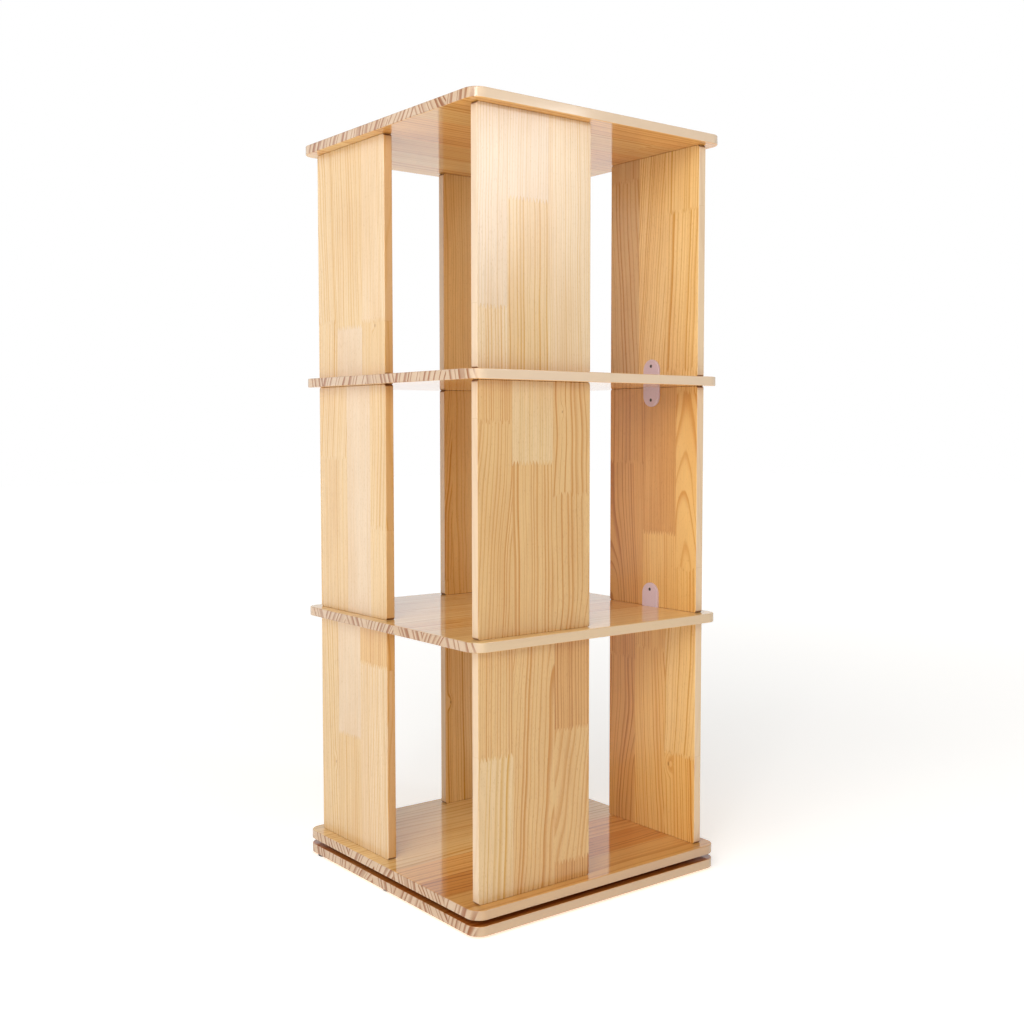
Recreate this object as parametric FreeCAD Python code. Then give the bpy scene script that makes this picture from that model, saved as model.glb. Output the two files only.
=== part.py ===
import FreeCAD, Part
import math
import os

from FreeCAD import Vector

# A three-tier revolving bookcase in edge-glued pine. Five square boards and twelve
# uprights, set as a pinwheel, turn on a flat ball-bearing swivel over a fixed base board.
# Millimetres, +Z up. The origin is on the floor, on the axis that the case turns about.

# Boards
board_side = 400.0
board_thickness = 12.0
board_corner_radius = 18.0
board_arris_radius = 1.2

# Uprights
panel_width = 170.0
panel_height = 300.0
panel_thickness = 12.0
panel_corner_radius = 3.0
panel_arris_radius = 0.8
panel_inset = 16.0

# Pads under the base board, placed by hand: centres as shares of half the board's side
foot_diameter = 20.0
foot_height = 3.0
foot_arris_radius = 0.6
foot_place_shares = (
    (-0.94, 0.86),
    (-0.935, 0.02),
    (-0.89, -0.89),
    (0.0, -0.90),
    (0.89, -0.89),
    (0.90, 0.0),
    (0.89, 0.89),
    (0.0, 0.90),
)

# Ball-bearing swivel, in the gap between the base board and the bottom shelf
swivel_gap = 7.0
plate_side = 150.0
plate_corner_radius = 12.0
plate_sheet = 1.0
plate_hole_inset = 10.0
race_diameter = 100.0
ridge_reach = 6.5
ridge_slope = 2.0
race_clearance = 0.05
ball_count = 16
cage_thickness = 1.2
cage_width = 8.0
cage_clearance = 0.4
pocket_clearance = 0.15
collar_diameter = 66.4
collar_bend_radius = 0.8
collar_clearance = 0.4
lip_reach = 3.3
lip_clearance = 0.2
access_hole_diameter = 14.0

# Screws of the swivel plates
plate_screw_diameter = 3.5
plate_screw_head_diameter = 7.0
plate_screw_head_height = 1.7
plate_screw_length = 10.0
plate_hole_clearance = 0.5
pan_crown_share = 0.7
pan_rim_share = 0.5

# Screws through the bottom shelf and the top board into the uprights
panel_screw_diameter = 4.0
panel_screw_head_diameter = 8.0
panel_screw_length = 40.0
panel_fixing_spacing = 110.0

# Dowels through the middle shelves
dowel_diameter = 6.0
dowel_length = 40.0
dowel_chamfer = 0.8
dowel_end_clearance = 0.5

# Connecting straps across the middle shelves
strap_width = 30.0
strap_length = 64.0
strap_thickness = 3.0
strap_arris_radius = 0.8
strap_slot_clearance = 0.2
strap_screw_inset = 9.0
strap_screw_diameter = 2.5
strap_screw_head_diameter = 4.6
strap_screw_length = 11.0
lower_strap_raise = 6.5
upper_strap_raise = 0.0

# Shared by all screws and drilled holes
screw_fit = 0.03
dowel_fit = 0.05
head_recess = 0.1
tip_radius_share = 0.2
overrun = 1.0
level_tolerance_share = 1e-6

full_turn = 360.0
quarter_turn = 90.0

# Heights of the boards' undersides, worked up from the floor
base_level = foot_height
bottom_shelf_level = base_level + board_thickness + swivel_gap
lower_shelf_level = bottom_shelf_level + board_thickness + panel_height
upper_shelf_level = lower_shelf_level + board_thickness + panel_height
top_board_level = upper_shelf_level + board_thickness + panel_height

# The uprights' outer faces, and the middle of the front upright's width and thickness
panel_face = board_side / 2 - panel_inset
panel_middle_x = -panel_face + panel_width / 2
panel_middle_y = -panel_face + panel_thickness / 2
panel_inner_y = -panel_face + panel_thickness

# Sides of the case, in the order that quarter turns about +Z bring the front to them
sides = ("front", "right", "back", "left")

# Swivel heights and radii
gap_floor = base_level + board_thickness
ball_level = gap_floor + swivel_gap / 2
groove_radius = swivel_gap / 2 - plate_sheet
ball_radius = groove_radius - race_clearance
race_radius = race_diameter / 2
ridge_drop = cage_thickness / 2 + cage_clearance
collar_radius = collar_diameter / 2
plate_hole_place = plate_side / 2 - plate_hole_inset
z_axis = Vector(0, 0, 1)
origin = Vector(0, 0, 0)


def rounded_rectangle(width, depth, radius):
    """Face on the XY plane, centred on the origin, with rounded corners."""
    x = width / 2
    y = depth / 2
    corners = ((x, y), (-x, y), (-x, -y), (x, -y))
    edges = []
    bend = radius * math.sin(math.pi / 4)
    for index, (corner_x, corner_y) in enumerate(corners):
        next_x, next_y = corners[(index + 1) % len(corners)]
        centre = Vector(math.copysign(x - radius, corner_x), math.copysign(y - radius, corner_y), 0)
        turn = quarter_turn * index
        start = Vector(radius, 0, 0)
        middle = Vector(bend, bend, 0)
        end = Vector(0, radius, 0)
        points = [centre + turned(point, turn) for point in (start, middle, end)]
        edges.append(Part.Arc(*points).toShape())
        next_centre = Vector(math.copysign(x - radius, next_x), math.copysign(y - radius, next_y), 0)
        next_start = next_centre + turned(end, turn)
        if points[2].distanceToPoint(next_start) > 0:
            edges.append(Part.LineSegment(points[2], next_start).toShape())
    return Part.Face(Part.Wire(edges))


def turned(vector, degrees):
    """The vector turned about +Z."""
    return FreeCAD.Rotation(z_axis, degrees).multVec(vector)


def turned_to_side(shape, index):
    """A copy of a shape made for the front, turned to another side of the case."""
    copy = shape.copy()
    copy.rotate(origin, z_axis, quarter_turn * index)
    return copy


def eased_slab(face, thickness, radius):
    """A slab pushed up from a flat face, with all the arrises of its two faces rounded."""
    slab = face.extrude(Vector(0, 0, thickness))
    level_edges = [edge for edge in slab.Edges if is_level(edge)]
    return slab.makeFillet(radius, level_edges)


def is_level(edge):
    """True for an edge that lies in a level plane."""
    return edge.BoundBox.ZLength < level_tolerance_share * overrun


def revolved(points):
    """A solid of revolution from points of (radius, height), closed along the axis."""
    path = [Vector(radius, 0, height) for radius, height in points]
    face = Part.Face(Part.makePolygon(path + path[:1]))
    return face.revolve(origin, z_axis, full_turn)


def countersunk_screw(diameter, head_diameter, length, growth):
    """Countersunk wood screw: its head's flat at the origin, its tip down. Growth makes its hole."""
    radius = diameter / 2
    head_radius = head_diameter / 2
    tip_radius = radius * tip_radius_share
    sink = head_radius - radius
    points = [
        (0, 0),
        (head_radius + growth, 0),
        (radius + growth, -sink),
        (radius + growth, -(length - diameter)),
        (tip_radius + growth, -(length + growth)),
        (0, -(length + growth)),
    ]
    return revolved(points)


def pan_screw(diameter, head_diameter, head_height, length, growth):
    """Pan-head wood screw: the underside of its head at the origin, its tip down."""
    radius = diameter / 2
    head_radius = head_diameter / 2
    tip_radius = radius * tip_radius_share
    points = [
        (0, head_height),
        (head_radius * pan_crown_share, head_height),
        (head_radius, head_height * pan_rim_share),
        (head_radius, 0),
        (radius + growth, 0),
        (radius + growth, -(length - diameter)),
        (tip_radius + growth, -(length + growth)),
        (0, -(length + growth)),
    ]
    return revolved(points)


def placed(shape, x, y, z, upside_down=False):
    """A copy moved to a place, turned over first where it points up."""
    copy = shape.copy()
    if upside_down:
        copy.rotate(origin, Vector(1, 0, 0), full_turn / 2)
    copy.translate(Vector(x, y, z))
    return copy


def fixing_places():
    """The two fixings in the end of the front upright."""
    half = panel_fixing_spacing / 2
    return ((panel_middle_x - half, panel_middle_y), (panel_middle_x + half, panel_middle_y))


def all_sides(shapes):
    """Copies of the front's shapes on all four sides of the case."""
    return [turned_to_side(shape, index) for index in range(len(sides)) for shape in shapes]


def panel_screws(level, upside_down, growth):
    """The front upright's two screws: down from the top board, or up from the bottom shelf."""
    screw = countersunk_screw(panel_screw_diameter, panel_screw_head_diameter, panel_screw_length, growth)
    return [placed(screw, x, y, level, upside_down) for x, y in fixing_places()]


def bottom_screws(growth=0.0):
    """Screws up through the bottom shelf, heads just under its surface."""
    return panel_screws(bottom_shelf_level + head_recess, True, growth)


def top_screws(growth=0.0):
    """Screws down through the top board, heads just under its surface."""
    return panel_screws(top_board_level + board_thickness - head_recess, False, growth)


def head_spaces(level, drop):
    """The shallow recesses above the heads of the front upright's screws."""
    space = Part.makeCylinder(panel_screw_head_diameter / 2 + screw_fit, head_recess + overrun)
    return [placed(space, x, y, level + drop) for x, y in fixing_places()]


def dowels(board_level):
    """The front upright's two dowels through a middle shelf."""
    dowel = Part.makeCylinder(dowel_diameter / 2, dowel_length)
    dowel = dowel.makeChamfer(dowel_chamfer, [edge for edge in dowel.Edges if is_level(edge)])
    low_end = board_level + board_thickness / 2 - dowel_length / 2
    return [placed(dowel, x, y, low_end) for x, y in fixing_places()]


def dowel_holes(board_level):
    """The holes for the front upright's two dowels, through the shelf and into both uprights."""
    length = dowel_length + 2 * dowel_end_clearance
    hole = Part.makeCylinder(dowel_diameter / 2 + dowel_fit, length)
    low_end = board_level + board_thickness / 2 - length / 2
    return [placed(hole, x, y, low_end) for x, y in fixing_places()]


def strap_middle(board_level, raise_up):
    """The middle of the front strap's back face, on the upright's inner face."""
    return Vector(panel_middle_x, panel_inner_y, board_level + board_thickness / 2 + raise_up)


def strap_screws(board_level, raise_up, growth=0.0):
    """The two screws of the front strap, from inside the case into the uprights."""
    middle = strap_middle(board_level, raise_up)
    screw = countersunk_screw(strap_screw_diameter, strap_screw_head_diameter, strap_screw_length, growth)
    screw.rotate(origin, Vector(1, 0, 0), -quarter_turn)
    reach = strap_length / 2 - strap_screw_inset
    head_face = middle.y + strap_thickness - head_recess
    return [placed(screw, middle.x, head_face, middle.z + side * reach) for side in (-1, 1)]


def strap_head_spaces(board_level, raise_up):
    """The shallow recesses over the heads of the front strap's screws."""
    middle = strap_middle(board_level, raise_up)
    space = Part.makeCylinder(strap_screw_head_diameter / 2 + screw_fit, head_recess + overrun)
    space.rotate(origin, Vector(1, 0, 0), -quarter_turn)
    reach = strap_length / 2 - strap_screw_inset
    head_face = middle.y + strap_thickness - head_recess
    return [placed(space, middle.x, head_face, middle.z + side * reach) for side in (-1, 1)]


def strap(board_level, raise_up):
    """The front connecting strap: an oblong plate with half-round ends, screwed flat to two uprights."""
    outline = rounded_rectangle(strap_width, strap_length, strap_width / 2)
    plate = outline.extrude(Vector(0, 0, strap_thickness))
    half_thickness = strap_thickness / 2
    front_edges = [edge for edge in plate.Edges if is_level(edge) and edge.BoundBox.ZMax < half_thickness]
    plate = plate.makeFillet(strap_arris_radius, front_edges)
    plate.rotate(origin, Vector(1, 0, 0), quarter_turn)
    middle = strap_middle(board_level, raise_up)
    plate.translate(middle + Vector(0, strap_thickness, 0))
    return plate.cut(strap_screws(board_level, raise_up, screw_fit) + strap_head_spaces(board_level, raise_up))


def strap_slot(board_level):
    """The slot in a middle shelf that the front strap passes through."""
    middle = strap_middle(board_level, 0)
    width = strap_width + 2 * strap_slot_clearance
    depth = strap_thickness + 2 * strap_slot_clearance
    corner = Vector(middle.x - width / 2, middle.y - strap_slot_clearance, board_level - overrun)
    return Part.makeBox(width, depth, board_thickness + 2 * overrun, corner)


def board(level):
    """A plain board: square, round at the corners, with eased arrises."""
    slab = eased_slab(rounded_rectangle(board_side, board_side, board_corner_radius),
                      board_thickness, board_arris_radius)
    slab.translate(Vector(0, 0, level))
    return slab


def plate_hole_places():
    """The four corner holes of a swivel plate."""
    return [(x * plate_hole_place, y * plate_hole_place) for x in (-1, 1) for y in (-1, 1)]


def lower_plate_screws(growth=0.0):
    """Screws down through the lower swivel plate into the base board."""
    screw = pan_screw(plate_screw_diameter, plate_screw_head_diameter, plate_screw_head_height,
                      plate_screw_length, growth)
    return [placed(screw, x, y, gap_floor + plate_sheet) for x, y in plate_hole_places()]


def upper_plate_screws(growth=0.0):
    """Screws up through the upper swivel plate into the bottom shelf."""
    screw = pan_screw(plate_screw_diameter, plate_screw_head_diameter, plate_screw_head_height,
                      plate_screw_length, growth)
    return [placed(screw, x, y, bottom_shelf_level - plate_sheet, True) for x, y in plate_hole_places()]


def base_board():
    """The fixed board on the floor, drilled for the swivel, with the hole that a driver passes through."""
    hole_circle_radius = plate_hole_place * math.sqrt(2)
    access = Part.makeCylinder(access_hole_diameter / 2, board_thickness + 2 * overrun,
                               Vector(0, hole_circle_radius, base_level - overrun))
    return board(base_level).cut(lower_plate_screws(screw_fit) + [access])


def bottom_shelf():
    """The lowest turning board, over the swivel."""
    cuts = all_sides(bottom_screws(screw_fit) + head_spaces(bottom_shelf_level, -overrun))
    return board(bottom_shelf_level).cut(cuts + upper_plate_screws(screw_fit))


def middle_shelf(level):
    """A shelf between two tiers, drilled for dowels and slotted for the four straps."""
    return board(level).cut(all_sides(dowel_holes(level) + [strap_slot(level)]))


def top_board():
    """The board over the upper tier."""
    top_face = top_board_level + board_thickness
    return board(top_board_level).cut(all_sides(top_screws(screw_fit) + head_spaces(top_face, -head_recess)))


def blank_panel(level):
    """The front upright of a tier before drilling."""
    outline = rounded_rectangle(panel_width, panel_height, panel_corner_radius)
    slab = eased_slab(outline, panel_thickness, panel_arris_radius)
    slab.rotate(origin, Vector(1, 0, 0), quarter_turn)
    slab.translate(Vector(panel_middle_x, panel_inner_y, level + panel_height / 2))
    return slab


def tier_panels(level, holes):
    """The four uprights of a tier, in the order of the sides."""
    front = blank_panel(level).cut(holes)
    return [turned_to_side(front, index) for index in range(len(sides))]


def feet():
    """Round pads stuck under the base board."""
    pad = Part.makeCylinder(foot_diameter / 2, foot_height)
    pad = pad.makeFillet(foot_arris_radius, [edge for edge in pad.Edges if edge.BoundBox.ZMax < foot_height / 2])
    half = board_side / 2
    return [placed(pad, x * half, y * half, 0) for x, y in foot_place_shares]


def race_path(flange, ridge, inner_radius):
    """Points and groove of a pressed swivel plate's face, from its flange in to inner_radius."""
    groove_half = math.sqrt(groove_radius ** 2 - (ball_level - ridge) ** 2)
    groove_bottom = ball_level + math.copysign(groove_radius, flange - ball_level)
    ridge_edge = race_radius + ridge_reach
    slope_foot = ridge_edge + ridge_slope
    rim = slope_foot + ridge_slope
    points = [Vector(rim, 0, flange), Vector(slope_foot, 0, flange), Vector(ridge_edge, 0, ridge),
              Vector(race_radius + groove_half, 0, ridge)]
    edges = [Part.LineSegment(first, second).toShape() for first, second in zip(points, points[1:])]
    far_side = Vector(race_radius - groove_half, 0, ridge)
    edges.append(Part.Arc(points[-1], Vector(race_radius, 0, groove_bottom), far_side).toShape())
    edges.append(Part.LineSegment(far_side, Vector(inner_radius, 0, ridge)).toShape())
    return edges, rim


def square_flange(underside, rim):
    """The flat square of a swivel plate around its pressed middle."""
    square = rounded_rectangle(plate_side, plate_side, plate_corner_radius).extrude(Vector(0, 0, plate_sheet))
    square.translate(Vector(0, 0, underside))
    middle = Part.makeCylinder(rim, plate_sheet + 2 * overrun, Vector(0, 0, underside - overrun))
    hole = Part.makeCylinder((plate_screw_diameter + plate_hole_clearance) / 2, plate_sheet + 2 * overrun,
                             Vector(0, 0, underside - overrun))
    return square.cut([middle] + [placed(hole, x, y, 0) for x, y in plate_hole_places()])


def pressed_plate(edges, side, flange_underside, rim):
    """A pressed plate: the path thickened by the sheet and revolved, joined to its square flange."""
    section = Part.Wire(edges).makeOffset2D(side * plate_sheet, 0, True, True)
    disc = section.Faces[0].revolve(origin, z_axis, full_turn)
    return disc.fuse(square_flange(flange_underside, rim)).removeSplitter()


def lower_plate():
    """The fixed swivel plate, with the collar and rolled lip that trap the upper plate."""
    flange = gap_floor + plate_sheet
    ridge = ball_level - ridge_drop
    upper_plate_top = ball_level + ridge_drop + plate_sheet
    lip = upper_plate_top + lip_clearance
    bend = collar_bend_radius
    part_bend = bend * (1 - math.sin(math.pi / 4))
    edges, rim = race_path(flange, ridge, collar_radius + bend)
    foot_start = Vector(collar_radius + bend, 0, ridge)
    foot_middle = Vector(collar_radius + part_bend, 0, ridge + part_bend)
    foot_end = Vector(collar_radius, 0, ridge + bend)
    head_start = Vector(collar_radius, 0, lip - bend)
    head_middle = Vector(collar_radius + part_bend, 0, lip - part_bend)
    head_end = Vector(collar_radius + bend, 0, lip)
    edges.append(Part.Arc(foot_start, foot_middle, foot_end).toShape())
    edges.append(Part.LineSegment(foot_end, head_start).toShape())
    edges.append(Part.Arc(head_start, head_middle, head_end).toShape())
    edges.append(Part.LineSegment(head_end, Vector(collar_radius + lip_reach, 0, lip)).toShape())
    return pressed_plate(edges, 1, gap_floor, rim)


def upper_plate():
    """The turning swivel plate, whose inner rim runs between the lower plate's ridge and its lip."""
    flange = bottom_shelf_level - plate_sheet
    ridge = ball_level + ridge_drop
    edges, rim = race_path(flange, ridge, collar_radius + collar_bend_radius + collar_clearance)
    return pressed_plate(edges, -1, flange, rim)


def ball_places():
    """Centres of the balls, evenly round the race."""
    step = full_turn / ball_count
    return [turned(Vector(race_radius, 0, ball_level), step * index) for index in range(ball_count)]


def balls():
    """The bearing balls."""
    return [Part.makeSphere(ball_radius, place) for place in ball_places()]


def ball_cage():
    """The flat ring that keeps the balls apart."""
    underside = ball_level - cage_thickness / 2
    outer = Part.makeCylinder(race_radius + cage_width / 2, cage_thickness, Vector(0, 0, underside))
    inner = Part.makeCylinder(race_radius - cage_width / 2, cage_thickness + 2 * overrun,
                              Vector(0, 0, underside - overrun))
    pockets = [Part.makeCylinder(ball_radius + pocket_clearance, cage_thickness + 2 * overrun,
                                 Vector(place.x, place.y, underside - overrun)) for place in ball_places()]
    return outer.cut([inner] + pockets)


def save(name, shapes):
    """Write one node: a solid, or a group of like solids."""
    shape = shapes[0] if len(shapes) == 1 else Part.makeCompound(shapes)
    for solid in shape.Solids:
        if not solid.isValid():
            raise ValueError(name + " is not a valid solid")
    shape.exportStep("parts/" + name + ".step")
    print(f"{name}: {len(shape.Solids)} solids, {shape.Volume:.0f} mm3")


def main():
    os.makedirs("parts", exist_ok=True)
    save("base_board", [base_board()])
    save("base_feet", feet())
    save("swivel_lower_plate", [lower_plate()])
    save("swivel_lower_screws", lower_plate_screws())
    save("ball_cage", [ball_cage()])
    save("bearing_balls", balls())
    save("swivel_upper_plate", [upper_plate()])
    save("swivel_upper_screws", upper_plate_screws())
    save("bottom_shelf", [bottom_shelf()])
    save("bottom_shelf_screws", all_sides(bottom_screws()))
    save("top_board", [top_board()])
    save("top_board_screws", all_sides(top_screws()))

    joints = (("lower", lower_shelf_level, lower_strap_raise), ("upper", upper_shelf_level, upper_strap_raise))
    for name, level, raise_up in joints:
        save(name + "_middle_shelf", [middle_shelf(level)])
        save(name + "_dowels", all_sides(dowels(level)))
        save(name + "_strap_screws", all_sides(strap_screws(level, raise_up)))
        front_strap = strap(level, raise_up)
        for index, side in enumerate(sides):
            save(name + "_strap_" + side, [turned_to_side(front_strap, index)])

    lower_joint_holes = dowel_holes(lower_shelf_level)
    lower_joint_holes += strap_screws(lower_shelf_level, lower_strap_raise, screw_fit)
    upper_joint_holes = dowel_holes(upper_shelf_level)
    upper_joint_holes += strap_screws(upper_shelf_level, upper_strap_raise, screw_fit)
    tiers = (
        ("lower", bottom_shelf_level, bottom_screws(screw_fit) + lower_joint_holes),
        ("middle", lower_shelf_level, lower_joint_holes + upper_joint_holes),
        ("upper", upper_shelf_level, upper_joint_holes + top_screws(screw_fit)),
    )
    for name, board_level, holes in tiers:
        for side, panel in zip(sides, tier_panels(board_level + board_thickness, holes)):
            save(name + "_panel_" + side, [panel])


main()
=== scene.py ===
import math
import random
from collections import namedtuple

import bmesh
import bpy
from bpy.props import FloatProperty, FloatVectorProperty, IntProperty, PointerProperty
from mathutils import Euler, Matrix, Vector


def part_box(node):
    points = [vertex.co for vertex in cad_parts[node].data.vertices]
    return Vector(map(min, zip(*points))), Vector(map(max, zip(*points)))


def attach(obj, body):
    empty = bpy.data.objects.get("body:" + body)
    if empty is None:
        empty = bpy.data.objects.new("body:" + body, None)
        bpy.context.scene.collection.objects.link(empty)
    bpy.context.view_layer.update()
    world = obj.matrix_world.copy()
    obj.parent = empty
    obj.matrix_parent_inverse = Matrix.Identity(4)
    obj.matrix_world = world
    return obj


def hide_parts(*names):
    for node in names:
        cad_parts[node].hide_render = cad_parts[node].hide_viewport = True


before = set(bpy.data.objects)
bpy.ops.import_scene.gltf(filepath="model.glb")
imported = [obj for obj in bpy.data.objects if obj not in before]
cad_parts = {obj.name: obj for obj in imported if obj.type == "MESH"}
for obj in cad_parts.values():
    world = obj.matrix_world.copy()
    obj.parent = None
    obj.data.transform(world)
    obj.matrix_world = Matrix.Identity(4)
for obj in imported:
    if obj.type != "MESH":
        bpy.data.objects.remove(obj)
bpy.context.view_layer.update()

bl_info = {
    "name": "Revolving Bookcase",
    "version": (1, 0, 0),
    "blender": (4, 5, 0),
    "location": "3D View > Sidebar > Bookcase",
    "description": "Finishes a three-tier revolving bookcase in edge-glued pine",
    "category": "Object",
}

MM = 0.001
SIDES = ("front", "right", "back", "left")
JOINT_LEVELS = ("lower", "upper")
TIERS = ("lower", "middle", "upper")

# Directions across the staves, through the wood and along the grain
UPRIGHT_AXES = {
    "front": ("+x", "+y", "+z"),
    "right": ("+y", "-x", "+z"),
    "back": ("-x", "-y", "+z"),
    "left": ("-y", "+x", "+z"),
}
BOARD_AXES = ("+y", "+z", "+x")

# How a stave was sawn. ring: width of a year's growth, mm. pith: distance to the heart of the
# tree, mm. turn: its direction from the face, degrees. slope: drift of the rings up the grain.
# wave: how far the rings wander, mm. strength: how dark the late wood shows.
Grain = namedtuple("Grain", "ring pith turn slope wave strength")
GRAINS = {
    "soft": Grain(ring=3.6, pith=85, turn=15, slope=0.015, wave=2.2, strength=0.60),
    "fine": Grain(ring=2.9, pith=80, turn=12, slope=0.008, wave=1.0, strength=0.90),
    "even": Grain(ring=4.4, pith=80, turn=18, slope=0.012, wave=1.6, strength=1.00),
    "drift": Grain(ring=5.0, pith=70, turn=28, slope=0.060, wave=3.0, strength=1.00),
    "bold": Grain(ring=6.6, pith=90, turn=22, slope=0.030, wave=2.5, strength=1.00),
    "wavy": Grain(ring=4.6, pith=60, turn=46, slope=0.060, wave=5.0, strength=1.00),
    "banded": Grain(ring=8.5, pith=75, turn=34, slope=0.050, wave=6.0, strength=1.00),
    "arched": Grain(ring=5.5, pith=36, turn=88, slope=0.110, wave=4.0, strength=0.90),
    "plain": Grain(ring=6.5, pith=110, turn=48, slope=0.020, wave=3.0, strength=0.55),
    "broad": Grain(ring=9.8, pith=170, turn=20, slope=0.010, wave=2.5, strength=0.85),
    "rift": Grain(ring=7.6, pith=150, turn=36, slope=0.015, wave=2.5, strength=0.85),
}

# Tones of pine: its early wood, its late wood, and where it is
TONES = {
    "blush": ("#D8BF9F", "#C99F6C", "the pinkish white staves"),
    "cream": ("#DCC19B", "#C5913C", "the palest staves"),
    "straw": ("#D8B98B", "#C4923A", "the yellow staves"),
    "gold": ("#EAC484", "#C88C28", "the golden staves"),
    "honey": ("#E6B86F", "#C47C1C", "the orange staves"),
    "peach": ("#D4AD75", "#B77829", "the pinkish staves"),
    "amber": ("#E8B064", "#BC721A", "the boards' deepest staves"),
    "tan": ("#D8A25B", "#AE6920", "the brownest staves"),
    "brown": ("#CB9B5E", "#A46421", "the dull brown staves"),
    "russet": ("#D18E42", "#A05A16", "the bottom shelf's reddest stave"),
    "end": ("#C5AA8D", "#8A4E19", "the ends, where the staves are cut across"),
}

# The uprights' staves, from the outer corner of each upright. Those that the photograph shows
# follow it, and the rest are made up alike. A row is: where the stave ends across, where its
# finger joints are from the bottom up, and the tone and grain of each length of wood.
# All places are shares of the upright.
STAVE_SHARES = {
    # On the front uprights the cream and blush staves up top are partly a painted highlight, and the
    # browner peach, straw and brown staves low down partly painted shade
    "upper_panel_front": (
        (0.252, (0.238,), ("cream even", "blush soft")),
        (0.613, (0.660,), ("straw even", "blush soft")),
        (1.0, (), ("cream soft",)),
    ),
    "middle_panel_front": (
        (0.294, (0.840,), ("peach drift", "peach fine")),
        (0.655, (0.678,), ("peach even", "straw soft")),
        (1.0, (0.549,), ("peach banded", "peach banded")),
    ),
    "lower_panel_front": (
        (0.301, (0.570,), ("straw bold", "peach even")),
        (0.672, (), ("peach wavy",)),
        (1.0, (0.084, 0.631), ("brown even", "peach wavy", "brown even")),
    ),
    "upper_panel_left": (
        (0.298, (0.248,), ("straw bold", "straw wavy")),
        (0.673, (0.214,), ("blush soft", "straw bold")),
        (1.0, (0.232,), ("straw fine", "cream soft")),
    ),
    "middle_panel_left": (
        (0.430, (0.681,), ("straw fine", "straw drift")),
        (0.775, (), ("blush soft",)),
        (1.0, (0.390,), ("straw soft", "straw bold")),
    ),
    "lower_panel_left": (
        (0.268, (), ("straw bold",)),
        (0.608, (0.485,), ("straw even", "blush soft")),
        (1.0, (0.830,), ("cream even", "peach even")),
    ),
    "upper_panel_right": (
        (0.358, (0.035, 0.730), ("gold even", "gold bold", "gold even")),
        (0.660, (), ("gold drift",)),
        (1.0, (0.910,), ("peach drift", "peach fine")),
    ),
    "middle_panel_right": (
        (0.228, (0.189, 0.973), ("honey even", "honey arched", "honey even")),
        (0.595, (0.340,), ("honey soft", "tan fine")),
        (1.0, (0.659,), ("tan wavy", "tan bold")),
    ),
    "lower_panel_right": (
        (0.334, (0.383,), ("honey drift", "gold drift")),
        (0.684, (0.846,), ("honey drift", "honey even")),
        (1.0, (0.787,), ("tan wavy", "tan even")),
    ),
    "upper_panel_back": (
        (0.310, (0.550,), ("straw even", "cream plain")),
        (0.660, (0.300,), ("honey even", "honey drift")),
        (1.0, (), ("gold soft",)),
    ),
    "middle_panel_back": (
        (0.280, (), ("cream even",)),
        (0.600, (0.420,), ("honey wavy", "straw even")),
        (0.919, (), ("honey plain",)),
        (1.0, (0.073,), ("honey even", "honey wavy")),
    ),
    "lower_panel_back": (
        (0.330, (0.700,), ("straw drift", "peach even")),
        (0.640, (), ("cream bold",)),
        (1.0, (), ("gold even",)),
    ),
}

# Small knots: across and up as shares of the upright, and the radius in mm
KNOT_SHARES = {
    "middle_panel_front": ((0.74, 0.88, 1.2),),
    "lower_panel_right": ((0.29, 0.33, 2.0),),
    "lower_panel_back": ((0.944, 0.505, 1.6),),
    "upper_panel_left": ((0.86, 0.21, 1.6),),
    "lower_panel_left": ((0.22, 0.34, 1.5),),
}

# The tone of each board's staves, from the front edge to the back, and the seed of their sizes
BOARD_TONES = {
    "base_board": ("amber", "honey", "amber", "honey", "gold", "honey", "amber"),
    # The bottom shelf's darker tan and russet front staves are partly its own tone and partly painted
    # shade, for the shade near the right upright's foot
    "bottom_shelf": ("tan", "russet", "amber", "gold", "gold", "gold", "gold"),
    "lower_middle_shelf": ("gold", "gold", "honey", "gold", "gold", "gold", "gold"),
    "upper_middle_shelf": ("amber", "honey", "amber", "amber", "honey", "honey", "amber"),
    "top_board": ("amber", "honey", "amber", "amber", "honey", "gold", "honey"),
}
BOARD_SEEDS = {
    "base_board": 11,
    "bottom_shelf": 23,
    "lower_middle_shelf": 37,
    "upper_middle_shelf": 41,
    "top_board": 59,
}

# Which face of a board looks into the swivel's gap and gets painted shade: 1 the upper one, -1 the lower
# one
GAP_FACES = {"base_board": 1, "bottom_shelf": -1}

# The colour of the narrow edges, and how far it covers the stave's own
UPRIGHT_EDGES = {
    "front": ("edge", 0.72),
    "right": ("edge", 0.76),
    "back": ("edge", 0.60),
    "left": ("tan_early", 0.45),
}
# The lower boards' edges take darker colours: partly their own tone, partly painted shade for the light
# that falls off lower down
BOARD_EDGES = {
    "base_board": ("shaded_low_edge", 0.80),
    "bottom_shelf": ("shaded_low_edge", 0.62),
    "lower_middle_shelf": ("shaded_middle_edge", 0.72),
    "upper_middle_shelf": ("edge", 0.95),
    "top_board": ("edge", 0.95),
}


def linear(hex_colour):
    """An sRGB hex colour as linear red, green, blue and a full alpha."""
    parts = [int(hex_colour[i:i + 2], 16) / 255 for i in (1, 3, 5)]
    return (*(p / 12.92 if p <= 0.04045 else ((p + 0.055) / 1.055) ** 2.4 for p in parts), 1.0)


def colour(name, hex_colour, description):
    """A colour property."""
    return FloatVectorProperty(name=name, description=description, default=linear(hex_colour),
                               subtype="COLOR", size=4, min=0, max=1)


def length(name, millimetres, description):
    """A length property, given in millimetres and held in metres."""
    return FloatProperty(name=name, description=description, default=millimetres * MM,
                         min=0, unit="LENGTH", precision=5)


def share(name, value, description):
    """A property from 0 to 1."""
    return FloatProperty(name=name, description=description, default=value, min=0, max=1, subtype="FACTOR")


def power(name, watts, description):
    """The power of a lamp."""
    return FloatProperty(name=name, description=description, default=watts, min=0, unit="POWER")


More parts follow.
